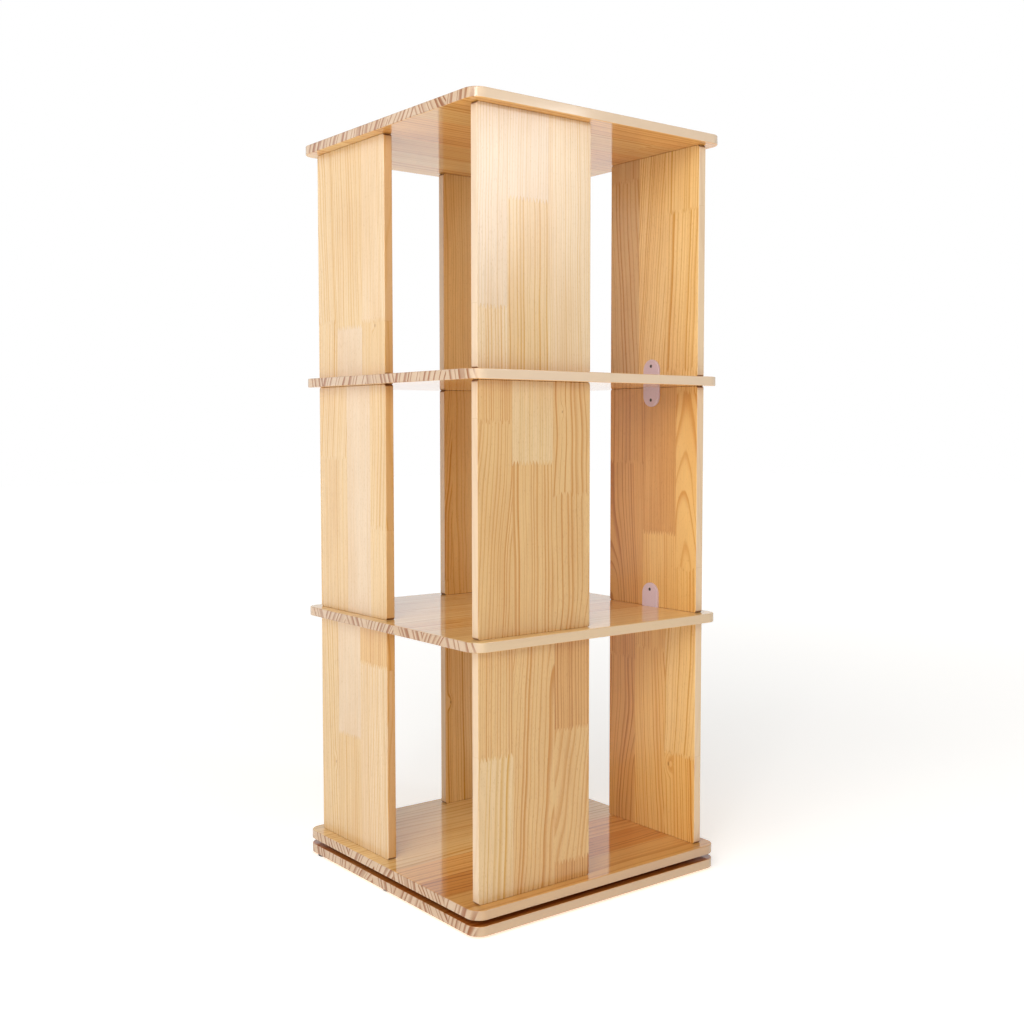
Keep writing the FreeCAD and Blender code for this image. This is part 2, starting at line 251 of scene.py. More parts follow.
class PineSettings(bpy.types.PropertyGroup):
    """Colours and sizes of the edge-glued pine. The tones are added below."""

    edge: colour("Narrow edge", "#D8C0A4", "Pale sapwood of the narrow edges")
    # The lower boards' edge colours are partly their own tone and partly painted shade lower down
    shaded_middle_edge: colour("Lower middle edge", "#CAB399", "Narrow edges of the lower middle shelf")
    shaded_low_edge: colour("Lowest narrow edges", "#BCA68E", "Browner edges of the two lowest boards")
    finger_pitch: length("Finger pitch", 4.8, "From one finger of a joint to the next")
    finger_length: length("Finger length", 7.0, "How far the fingers reach into each other")
    glue_line: length("Glue line", 0.35, "Half the width that a glue line shows, wider than the real one")
    board_lacquer: share("Board lacquer", 0.08, "Roughness of the clear lacquer on the boards")
    upright_lacquer: share("Upright lacquer", 0.22, "Roughness of the lacquer on the uprights")


for tone, (early, late, staves) in TONES.items():
    PineSettings.__annotations__[tone + "_early"] = colour(
        tone.capitalize() + ", early wood", early, "Spring growth of " + staves)
    PineSettings.__annotations__[tone + "_late"] = colour(
        tone.capitalize() + ", late wood", late, "Summer growth of " + staves)


class FittingSettings(bpy.types.PropertyGroup):
    """Colours of the straps, swivel, screws and pads."""

    strap: colour("Strap", "#D7C2CB", "Moulded plastic of the connecting straps")
    black_screw: colour("Black screw", "#2A2725", "Phosphated wood screws of the straps")
    bright_screw: colour("Bright screw", "#B9B6AC", "Zinc-plated wood screws")
    plate: colour("Swivel plate", "#A9ADB0", "Galvanised steel sheet")
    ball: colour("Ball", "#C9CACC", "Polished bearing steel")
    cage: colour("Ball cage", "#E6E1D2", "Undyed nylon")
    dowel: colour("Dowel", "#CFA173", "Beech")
    pad: colour("Pad", "#161616", "Foam rubber")


class ScrewSettings(bpy.types.PropertyGroup):
    """Sizes that all the wood screws share."""

    sides: IntProperty(name="Sides", description="Facets round a screw", default=24, min=8, max=64)
    thread_pitch: length("Thread pitch", 1.8, "Rise of the thread in one turn")
    recess_share: share("Recess", 0.55, "Width of the cross recess over the head's")


class StageSettings(bpy.types.PropertyGroup):
    """The floor, light and camera."""

    floor: colour("Floor", "#F2F1EF", "Pale floor under the bookcase")
    near_glow: share("Near glow", 0.58, "What the camera sees besides the lit floor by the bookcase")
    far_glow: share("Far glow", 0.93, "The same, away from the bookcase")
    bounce: share("Bounce", 0.6, "Light that the floor gives off by itself")
    ambient: share("Ambient", 0.24, "Light from all round")
    key_power: power("Key lamp", 9.7, "Lamp at the front right")
    side_power: power("Side lamp", 3.5, "Lamp at the back left")
    fill_power: power("Fill lamp", 28, "Lamp at the left")
    top_power: power("Top lamp", 17, "Lamp above the left")
    front_power: power("Front lamp", 25, "Lamp above the camera")
    lens: FloatProperty(name="Lens", description="Focal length in mm", default=44.234, min=1)


def add(tree, kind, inputs=(), out=None, **settings):
    """Adds a node, sets its properties and its inputs, in order or by name, and returns one output.
    In order, a Map Range takes its value, then the two ends that it runs from, then those it runs to."""
    made = tree.nodes.new(kind)
    for name, value in settings.items():
        setattr(made, name, value)
    sockets = [socket for socket in made.inputs if socket.enabled]
    if isinstance(inputs, dict):
        pairs = [(next(s for s in sockets if s.name == name), value) for name, value in inputs.items()]
    else:
        pairs = zip(sockets, inputs)
    for socket, value in pairs:
        if isinstance(value, bpy.types.NodeSocket):
            tree.links.new(value, socket)
        else:
            socket.default_value = value
    outputs = [socket for socket in made.outputs if socket.enabled and out in (None, socket.name)]
    return outputs[0] if outputs else made


def group_tree(name, kind, inputs, outputs):
    """A node group and the sockets that its nodes start from. Inputs and outputs are socket names
    by type."""
    tree = bpy.data.node_groups.new(name, kind)
    for way, types in (("INPUT", inputs), ("OUTPUT", outputs)):
        for socket_type, sockets in types.items():
            for socket in sockets:
                tree.interface.new_socket(socket, in_out=way, socket_type="NodeSocket" + socket_type)
    start = tree.nodes.new("NodeGroupInput")
    return tree, start.outputs


def new_object(name, data):
    """An object of the scene that holds this data."""
    made = bpy.data.objects.new(name, data)
    bpy.context.scene.collection.objects.link(made)
    return made


def new_material(name):
    """An empty node material."""
    material = bpy.data.materials.new(name)
    material.use_nodes = True
    material.node_tree.nodes.clear()
    return material, material.node_tree


def finish_material(tree, **principled):
    """Closes a material with a Principled shader. Inputs are named with underscores for spaces."""
    inputs = {name.replace("_", " "): value for name, value in principled.items()}
    shader = add(tree, "ShaderNodeBsdfPrincipled", inputs)
    add(tree, "ShaderNodeOutputMaterial", (shader,))


def dress(node, material):
    """Gives a construction node its finish."""
    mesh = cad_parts[node].data
    mesh.materials.clear()
    mesh.materials.append(material)


def shaded(tree, base, pattern, darkest, lightest):
    """A colour, made darker and lighter by a pattern."""
    light = add(tree, "ShaderNodeMapRange", (pattern, 0, 1, darkest, lightest), clamp=False)
    if not isinstance(base, bpy.types.NodeSocket):
        base = tuple(base)[:3]
    return add(tree, "ShaderNodeVectorMath", {"Vector": base, "Scale": light}, operation="SCALE")


def stained(tree, base, cover, tint):
    """A colour, multiplied by a tint as far as the stain covers it."""
    darker = add(tree, "ShaderNodeVectorMath", (base, tint), operation="MULTIPLY")
    return add(tree, "ShaderNodeMix", (cover, base, darker), data_type="RGBA")


# Pine: growth rings about a pith, cut where the stave happens to lie

RING_GROUP = "Pine rings"

# Cells of noise, in mm across, through and along the wood, and how far they move the rings: in
# shares of the stave's own wave, and in mm
WANDER_CELL = (75, 150, 150)
WANDER_SHARES = (-2.0, 2.0)
WOBBLE_CELL = (11, 30, 80)
WOBBLE = (-0.6, 0.6)

# A year runs from its spring, 0, to the next, 1: how uneven the years are, where their late wood
# starts, where it is full and ends, and how dark it gets on the long faces and on the cut ends
SWINGS_PER_YEAR = 0.8
SWING_SHARES = (-0.5, 0.5)
LATE_START_SHARES = (0.3, 0.7)
LATE_FULL_SHARE = 0.86
LATE_END_SHARE = 0.87
LATE_DEPTHS = (0.45, 1.0)
END_CONTRAST = 0.5

# Warmer patches, fibres and resin ducts. Ducts are drawn twice as wide as real ones, and fibres
# coarser still, so that they show. Levels are where a noise starts to show and where it is full,
# a cover is how far a stain hides the wood, and a tint is what its colour is multiplied by.
PATCH_CELL = (40, 40, 190)
PATCH_LEVELS = (0.4, 0.75)
PATCH_TINT = (0.93, 0.86, 0.76)
FIBRE_CELL = (0.9, 0.9, 30)
FIBRE_LIGHT = (0.87, 1.13)
FIBRE_ROUGHNESS = (0.42, 0.62)
DUCT_CELL = (0.8, 0.8, 4)
DUCT_LEVELS = (0.66, 0.78)
DUCT_COVER = 0.28
DUCT_TINT = (0.6, 0.42, 0.25)

# How far a face is turned along the grain where its end grain begins and is full, and the same for
# the narrow edges
END_LEVELS = (0.35, 0.75)
EDGE_LEVELS = (0.5, 0.9)

# Knots, in radii of the knot: how far off the rings bend and by how much, and its dark heart
KNOT_REACH_SHARE = 7
KNOT_PUSH_SHARE = 3.5
KNOT_HEART_SHARE = 0.5
KNOT_COVER = 0.6
KNOT_STRETCH = (1, 0, 0.55)
KNOT_TINT = (0.4, 0.26, 0.16)

# Painted shadow in the slits where the rounded ends of an upright's narrow edges meet the boards, with its
# reach in mm
SLIT_SHADOW_REACH = 4.0
SLIT_SHADOW_LEVELS = (0.25, 0.6)
SLIT_SHADOW_TINT = (0.22, 0.07, 0.02)

# Painted shade on the face that looks into the swivel's gap, and the glue
GAP_LEVEL = 0.9
GAP_SHADE_TINT = (0.55, 0.33, 0.2)
GLUE_COVER = 0.55
GLUE_TINT = (0.72, 0.62, 0.5)


def pine_rings():
    """The wood of one stave. Place is across, through and along it in mm. Rings holds the ring
    width and the pith's place across and through, and Flow the slope, wave and strength.
    Swell is how far a knot pushes the rings aside, in mm."""
    tree, given = group_tree(
        RING_GROUP, "ShaderNodeTree",
        {"Vector": ("Place", "Rings", "Flow"),
         "Color": ("Early", "Late", "End early", "End late"),
         "Float": ("End grain", "Swell")},
        {"Color": ("Color",), "Float": ("Roughness", "Height")})
    place = given["Place"]
    rings = add(tree, "ShaderNodeSeparateXYZ", (given["Rings"],)).node.outputs
    flow = add(tree, "ShaderNodeSeparateXYZ", (given["Flow"],)).node.outputs
    # Each length of wood has noise of its own, moved by its ring width and pith
    own = add(tree, "ShaderNodeVectorMath", (given["Rings"], (0.71, 1.93, 1.37)), operation="MULTIPLY")

    def noise(cell, detail):
        """Noise over a length of wood, with cells of this many mm across, through and along."""
        scaled = add(tree, "ShaderNodeVectorMath", (place, cell), operation="DIVIDE")
        moved = add(tree, "ShaderNodeVectorMath", (scaled, own), operation="ADD")
        return add(tree, "ShaderNodeTexNoise", {"Vector": moved, "Scale": 1.0, "Detail": detail})

    # Distance to the pith, with the log's taper, its slow wander, a fine wobble and knots
    flat = add(tree, "ShaderNodeVectorMath", (place, (1, 1, 0)), operation="MULTIPLY")
    pith = add(tree, "ShaderNodeCombineXYZ", (rings["Y"], rings["Z"]))
    radius = add(tree, "ShaderNodeVectorMath", (flat, pith), operation="DISTANCE")
    along = add(tree, "ShaderNodeSeparateXYZ", (place,), out="Z")
    radius = add(tree, "ShaderNodeMath", (along, flow["X"], radius), operation="MULTIPLY_ADD")
    wander = add(tree, "ShaderNodeMapRange", (noise(WANDER_CELL, 1.0), 0, 1, *WANDER_SHARES), clamp=False)
    radius = add(tree, "ShaderNodeMath", (wander, flow["Y"], radius), operation="MULTIPLY_ADD")
    wobble = add(tree, "ShaderNodeMapRange", (noise(WOBBLE_CELL, 1.0), 0, 1, *WOBBLE), clamp=False)
    radius = add(tree, "ShaderNodeMath", (radius, wobble), operation="ADD")
    radius = add(tree, "ShaderNodeMath", (radius, given["Swell"]), operation="ADD")

    # Years: uneven widths, each with its own share and darkness of late wood
    years = add(tree, "ShaderNodeMath", (radius, rings["X"]), operation="DIVIDE")
    swing = add(tree, "ShaderNodeTexNoise", {"W": years, "Scale": SWINGS_PER_YEAR, "Detail": 1.0},
                noise_dimensions="1D")
    swing = add(tree, "ShaderNodeMapRange", (swing, 0, 1, *SWING_SHARES), clamp=False)
    years = add(tree, "ShaderNodeMath", (years, swing), operation="ADD")
    season = add(tree, "ShaderNodeMath", (years,), operation="FRACT")
    year = add(tree, "ShaderNodeMath", (years,), operation="FLOOR")
    year = add(tree, "ShaderNodeMath", (year, rings["Y"]), operation="ADD")
    luck = add(tree, "ShaderNodeTexWhiteNoise", {"W": year}, out="Color", noise_dimensions="1D")
    luck = add(tree, "ShaderNodeSeparateColor", (luck,)).node.outputs
    onset = add(tree, "ShaderNodeMapRange", (luck["Green"], 0, 1, *LATE_START_SHARES))
    rise = add(tree, "ShaderNodeMapRange", (season, onset, LATE_FULL_SHARE),
               interpolation_type="SMOOTHSTEP")
    fall = add(tree, "ShaderNodeMapRange", (season, 1, LATE_END_SHARE), interpolation_type="SMOOTHSTEP")
    late = add(tree, "ShaderNodeMath", (rise, fall), operation="MULTIPLY")
    depth = add(tree, "ShaderNodeMapRange", (luck["Red"], 0, 1, *LATE_DEPTHS))
    late = add(tree, "ShaderNodeMath", (late, depth), operation="MULTIPLY")

    # Colour on the long faces and on the cut ends
    shown = add(tree, "ShaderNodeMath", (late, flow["Z"]), operation="MULTIPLY")
    face = add(tree, "ShaderNodeMix", (shown, given["Early"], given["Late"]), data_type="RGBA")
    ends = add(tree, "ShaderNodeMath", (late, END_CONTRAST), operation="POWER")
    end = add(tree, "ShaderNodeMix", (ends, given["End early"], given["End late"]), data_type="RGBA")
    wood = add(tree, "ShaderNodeMix", (given["End grain"], face, end), data_type="RGBA")

    # Slow patches of warmer wood, fine fibres and resin ducts
    patch = add(tree, "ShaderNodeMapRange", (noise(PATCH_CELL, 2.0), *PATCH_LEVELS))
    wood = stained(tree, wood, patch, PATCH_TINT)
    fibre = noise(FIBRE_CELL, 2.0)
    wood = shaded(tree, wood, fibre, *FIBRE_LIGHT)
    duct = add(tree, "ShaderNodeMapRange", (noise(DUCT_CELL, 0.0), *DUCT_LEVELS, 0, DUCT_COVER))
    wood = stained(tree, wood, duct, DUCT_TINT)

    rough = add(tree, "ShaderNodeMapRange", (fibre, 0, 1, *FIBRE_ROUGHNESS))
    height = add(tree, "ShaderNodeMath", (late, -0.5, fibre), operation="MULTIPLY_ADD")
    add(tree, "NodeGroupOutput", (wood, rough, height))
    return tree


def piece_sizes(node, axes):
    """A piece's width across, thickness and length along the grain, in mm."""
    low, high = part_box(node)
    return [(high - low)["xyz".index(letter)] / MM for _, letter in axes]


def piece_place(tree, node, axes):
    """Object coordinates as mm across, through and along a piece's grain, from its own corner."""
    low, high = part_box(node)
    scale = [0.0, 0.0, 0.0]
    shift = [0.0, 0.0, 0.0]
    for sign, letter in axes:
        index = "xyz".index(letter)
        start, step = (low[index], 1 / MM) if sign == "+" else (high[index], -1 / MM)
        scale[index] = step
        shift[index] = -start * step
    coordinates = add(tree, "ShaderNodeTexCoord", out="Object")
    moved = add(tree, "ShaderNodeVectorMath", (coordinates, scale, shift), operation="MULTIPLY_ADD")
    parts = add(tree, "ShaderNodeSeparateXYZ", (moved,)).node.outputs
    ordered = [parts[letter.upper()] for _, letter in axes]
    return add(tree, "ShaderNodeCombineXYZ", ordered), ordered


def line_at(tree, value, place, half_width):
    """1 on a thin line where value is at place, fading out to each side."""
    away = add(tree, "ShaderNodeMath", (value, place), operation="SUBTRACT")
    away = add(tree, "ShaderNodeMath", (away,), operation="ABSOLUTE")
    return add(tree, "ShaderNodeMapRange", (away, 0, half_width, 1, 0))


def block_values(wood, stave_middle, thickness, luck):
    """Rings, flow, and early and late wood of one length of wood, varied a little."""
    tone, grain_name = wood.split()
    grain = GRAINS[grain_name]
    turn = math.radians(grain.turn + luck.uniform(-8, 8))
    distance = grain.pith * luck.uniform(0.8, 1.25)
    across = stave_middle + luck.choice((-1, 1)) * distance * math.cos(turn)
    through = thickness / 2 + luck.choice((-1, 1)) * distance * math.sin(turn)
    rings = (grain.ring * luck.uniform(0.85, 1.15), across, through)
    flow = (grain.slope * luck.choice((-1, 1)) * luck.uniform(0.6, 1.3),
            grain.wave * luck.uniform(0.8, 1.2), grain.strength * luck.uniform(0.9, 1.1))
    pine = bpy.context.scene.bookcase_pine
    return rings, flow, tuple(getattr(pine, tone + "_early")), tuple(getattr(pine, tone + "_late"))


def laid_staves(tree, staves, luck, sizes, across, along):
    """The rings, flow, early and late wood of the length of wood at each place, and 1 on the glue
    lines between staves and round the teeth of the finger joints."""
    pine = bpy.context.scene.bookcase_pine
    width, thickness, long = sizes
    glue = pine.glue_line / MM
    reach = pine.finger_length / MM
    half_pitch = pine.finger_pitch / MM / 2
    teeth = add(tree, "ShaderNodeMath", (across, half_pitch), operation="PINGPONG")
    teeth = add(tree, "ShaderNodeMath", (teeth, reach / half_pitch, -reach / 2), operation="MULTIPLY_ADD")
    toothed = add(tree, "ShaderNodeMath", (along, teeth), operation="ADD")

    chosen = None
    seam = 0.0
    start_share = 0.0
    for end_share, joint_shares, woods in staves:
        start = start_share * width
        middle = (start_share + end_share) / 2 * width
        here = None
        if start_share:
            here = add(tree, "ShaderNodeMath", (across, start), operation="GREATER_THAN")
            seam = add(tree, "ShaderNodeMix", (here, seam, line_at(tree, across, start, glue)))
        for index, wood in enumerate(woods):
            values = block_values(wood, middle, thickness, luck)
            switch = here
            if index:
                joint = joint_shares[index - 1] * long
                switch = add(tree, "ShaderNodeMath", (toothed, joint), operation="GREATER_THAN")
                line = line_at(tree, toothed, joint, glue)
                if here:
                    switch = add(tree, "ShaderNodeMath", (switch, here), operation="MULTIPLY")
                    line = add(tree, "ShaderNodeMath", (line, here), operation="MULTIPLY")
                seam = add(tree, "ShaderNodeMath", (seam, line), operation="MAXIMUM")
            if chosen is None:
                chosen = values
            else:
                kinds = ("VECTOR", "VECTOR", "RGBA", "RGBA")
                chosen = [add(tree, "ShaderNodeMix", (switch, old, new), data_type=kind)
                          for old, new, kind in zip(chosen, values, kinds)]
        start_share = end_share
    return chosen, seam


def knots_over(tree, knots, sizes, place):
    """How far the knots push the rings aside, in mm, and how much of a dark heart is at a place."""
    width, _, long = sizes
    swell = 0.0
    heart = 0.0
    for knot_across, knot_up, radius in knots:
        centre = (knot_across * width, 0, knot_up * long)
        away = add(tree, "ShaderNodeVectorMath", (place, centre), operation="SUBTRACT")
        away = add(tree, "ShaderNodeVectorMath", (away, KNOT_STRETCH), operation="MULTIPLY")
        away = add(tree, "ShaderNodeVectorMath", (away,), operation="LENGTH")
        bend = (away, 0, radius * KNOT_REACH_SHARE, radius * KNOT_PUSH_SHARE, 0)
        push = add(tree, "ShaderNodeMapRange", bend, interpolation_type="SMOOTHERSTEP")
        swell = add(tree, "ShaderNodeMath", (swell, push), operation="ADD")
        core = add(tree, "ShaderNodeMapRange", (away, radius * KNOT_HEART_SHARE, radius, KNOT_COVER, 0))
        heart = add(tree, "ShaderNodeMath", (heart, core), operation="MAXIMUM")
    return swell, heart


def pine_material(node, axes, staves, luck, edge_finish, lacquer, knots=(), slit_shadow=False, bare=0):
    """Clear-lacquered pine, edge-glued from finger-jointed staves: straight to wavy growth rings
    under a smooth satin film, a comb of teeth at each joint and stripes on the cut ends. One flag paints
    shadow at the ends of the narrow edges, and a sign of 1 or -1 paints shade on the upper or lower face,
    where it looks into the swivel's gap."""
    pine = bpy.context.scene.bookcase_pine
    material, tree = new_material("Lacquered pine, " + node.replace("_", " "))
    sizes = piece_sizes(node, axes)
    place, (across, _, along) = piece_place(tree, node, axes)
    (rings, flow, early, late), seam = laid_staves(tree, staves, luck, sizes, across, along)
    swell, heart = knots_over(tree, knots, sizes, place)

    facing = add(tree, "ShaderNodeTexCoord", out="Normal")
    facing = add(tree, "ShaderNodeSeparateXYZ", (facing,)).node.outputs
    turned_across, turned_along = [
        add(tree, "ShaderNodeMath", (facing[letter.upper()],), operation="ABSOLUTE")
        for _, letter in (axes[0], axes[2])]
    cut = add(tree, "ShaderNodeMapRange", (turned_along, *END_LEVELS))
    edge = add(tree, "ShaderNodeMapRange", (turned_across, *EDGE_LEVELS))
    end_colours = (tuple(pine.end_early), tuple(pine.end_late))
    grown = add(tree, "ShaderNodeGroup", (place, rings, flow, early, late, *end_colours, cut, swell),
                node_tree=bpy.data.node_groups.get(RING_GROUP) or pine_rings()).node.outputs

    wood = grown["Color"]
    if knots:
        wood = stained(tree, wood, heart, KNOT_TINT)
    edge_colour, edge_cover = edge_finish
    pale = add(tree, "ShaderNodeMath", (edge, edge_cover), operation="MULTIPLY")
    wood = add(tree, "ShaderNodeMix", (pale, wood, tuple(getattr(pine, edge_colour))), data_type="RGBA")
    # Painted shadow: the ends of the narrow edges darken where they meet the boards
    if slit_shadow:
        ends = [line_at(tree, along, end, SLIT_SHADOW_REACH) for end in (0.0, sizes[2])]
        slit_shade = add(tree, "ShaderNodeMath", ends, operation="MAXIMUM")
        slit_shade = add(tree, "ShaderNodeMapRange", (slit_shade, *SLIT_SHADOW_LEVELS))
        slit_shade = add(tree, "ShaderNodeMath", (slit_shade, turned_across), operation="MULTIPLY")
        wood = stained(tree, wood, slit_shade, SLIT_SHADOW_TINT)
    # Painted shade: the face that looks into the swivel's gap is darkened
    if bare:
        side = "GREATER_THAN" if bare > 0 else "LESS_THAN"
        gap_shade_face = add(tree, "ShaderNodeMath", (facing["Z"], GAP_LEVEL * bare), operation=side)
        wood = stained(tree, wood, gap_shade_face, GAP_SHADE_TINT)
    seam = add(tree, "ShaderNodeMath", (seam, GLUE_COVER), operation="MULTIPLY")
    wood = stained(tree, wood, seam, GLUE_TINT)
    bump = add(tree, "ShaderNodeBump", {"Strength": 0.35, "Distance": 0.03 * MM, "Height": grown["Height"]})
    finish_material(tree, Base_Color=wood, Roughness=grown["Roughness"], Normal=bump, IOR=1.5,
                    Specular_IOR_Level=0.05, Coat_Weight=1.0, Coat_Roughness=lacquer, Coat_IOR=1.5)
    return material


def board_staves(tones, luck):
    """Staves of a whole board: nearly equal widths, and a finger joint in most of them."""
    count = len(tones)
    ends = sorted((index + luck.uniform(-0.12, 0.12)) / count for index in range(1, count)) + [1.0]
    rows = []
    for index, (end, tone) in enumerate(zip(ends, tones)):
        jointed = 0 < index < count - 1 and luck.random() < 0.65
        joints = (luck.uniform(0.12, 0.88),) if jointed else ()
        woods = [tone + " " + luck.choice(("broad", "rift", "broad")) for _ in range(len(joints) + 1)]
        rows.append((end, joints, woods))
    return rows


# Plain finishes: each is a base colour broken up at its real scale

def speckle(tree, grit, detail=2.0):
    """Noise whose cells are this many mm wide, on the piece's own coordinates."""
    coordinates = add(tree, "ShaderNodeTexCoord", out="Object")
    return add(tree, "ShaderNodeTexNoise",
               {"Vector": coordinates, "Scale": 1 / (grit * MM), "Detail": detail})


def moulded_plastic(name, base, grit, roughness):
    """Injection-moulded plastic: spark-eroded grain, drawn coarser than real so that it shows."""
    material, tree = new_material(name)
    grain = speckle(tree, grit)
    rough = add(tree, "ShaderNodeMapRange", (grain, 0, 1, roughness - 0.1, roughness + 0.1))
    bump = add(tree, "ShaderNodeBump", {"Strength": 0.4, "Distance": 0.05 * MM, "Height": grain})
    finish_material(tree, Base_Color=shaded(tree, base, grain, 0.86, 1.14), Roughness=rough, Normal=bump,
                    IOR=1.49)
    return material


def zinc_plated_steel(name, base, spangle):
    """Galvanised or zinc-plated steel: spangles of slightly different grey and gloss."""
    material, tree = new_material(name)
    coordinates = add(tree, "ShaderNodeTexCoord", out="Object")
    flake = add(tree, "ShaderNodeTexVoronoi", {"Vector": coordinates, "Scale": 1 / (spangle * MM)},
                out="Color")
    flake = add(tree, "ShaderNodeSeparateColor", (flake,))
    rough = add(tree, "ShaderNodeMapRange", (flake, 0, 1, 0.28, 0.45))
    grain = speckle(tree, grit=0.4)
    bump = add(tree, "ShaderNodeBump", {"Strength": 0.2, "Distance": 0.02 * MM, "Height": grain})
    finish_material(tree, Base_Color=shaded(tree, base, flake, 0.85, 1.1), Metallic=1.0, Roughness=rough,
                    Normal=bump)
    return material


def phosphated_steel(name, base):
    """Black phosphate on steel: a matt, finely crystalline skin with worn glints."""
    material, tree = new_material(name)
    grain = speckle(tree, grit=0.25)
    rough = add(tree, "ShaderNodeMapRange", (grain, 0, 1, 0.35, 0.6))
    finish_material(tree, Base_Color=shaded(tree, base, grain, 0.7, 1.4), Roughness=rough, IOR=1.6)
    return material


def polished_steel(name, base):
    """Ground and polished bearing steel, with a faint film of grease."""
    material, tree = new_material(name)
    film = speckle(tree, grit=1.5)
    rough = add(tree, "ShaderNodeMapRange", (film, 0, 1, 0.06, 0.18))
    finish_material(tree, Base_Color=shaded(tree, base, film, 0.94, 1.05), Metallic=1.0, Roughness=rough)
    return material


def turned_beech(name, base):
    """Beech dowel: short dark flecks up its grain, left bare."""
    material, tree = new_material(name)
    coordinates = add(tree, "ShaderNodeTexCoord", out="Object")
    flecks_per_metre = [1 / (size * MM) for size in (0.625, 0.625, 4.545)]
    stretched = add(tree, "ShaderNodeVectorMath", (coordinates, flecks_per_metre), operation="MULTIPLY")
    fleck = add(tree, "ShaderNodeTexNoise", {"Vector": stretched, "Scale": 1.0, "Detail": 2.0})
    finish_material(tree, Base_Color=shaded(tree, base, fleck, 0.7, 1.2), Roughness=0.7, IOR=1.5)
    return material


def foam_rubber(name, base):
    """Closed-cell foam rubber: matt black with small open pores on its cut side."""
    material, tree = new_material(name)
    pores = speckle(tree, grit=0.6, detail=4.0)
    bump = add(tree, "ShaderNodeBump", {"Strength": 0.6, "Distance": 0.15 * MM, "Height": pores})
    rough = add(tree, "ShaderNodeMapRange", (pores, 0, 1, 0.8, 0.95))
    finish_material(tree, Base_Color=shaded(tree, base, pores, 0.6, 1.5), Roughness=rough, Normal=bump,
                    IOR=1.5)
    return material


# Screws

SCREW_GROUP = "Wood screws"
WELD = 0.01 * MM
SMOOTH_ANGLE = math.radians(30)

# A head's face, crown, rim and seat as shares of its radius, the seat's of what it stands out from
# the core. The shank is a share of the head, the core and the tip are shares of the shank, the
# thread is a share of the core's length, and the recess's bars are shares of their own.
HeadShares = namedtuple("HeadShares", "face crown rim seat")
HEAD_SHARES = {
    "countersunk": HeadShares(face=0.92, crown=0.05, rim=0.04, seat=1.0),
    "pan": HeadShares(face=0.7, crown=0.24, rim=0.24, seat=0.02),
}
SHANK_SHARE = 0.5
CORE_SHARE = 0.72
TIP_SHARE = 2.0
THREAD_SHARE = 0.92
BAR_WIDTH_SHARE = 0.22
BAR_DEPTH_SHARE = 0.7


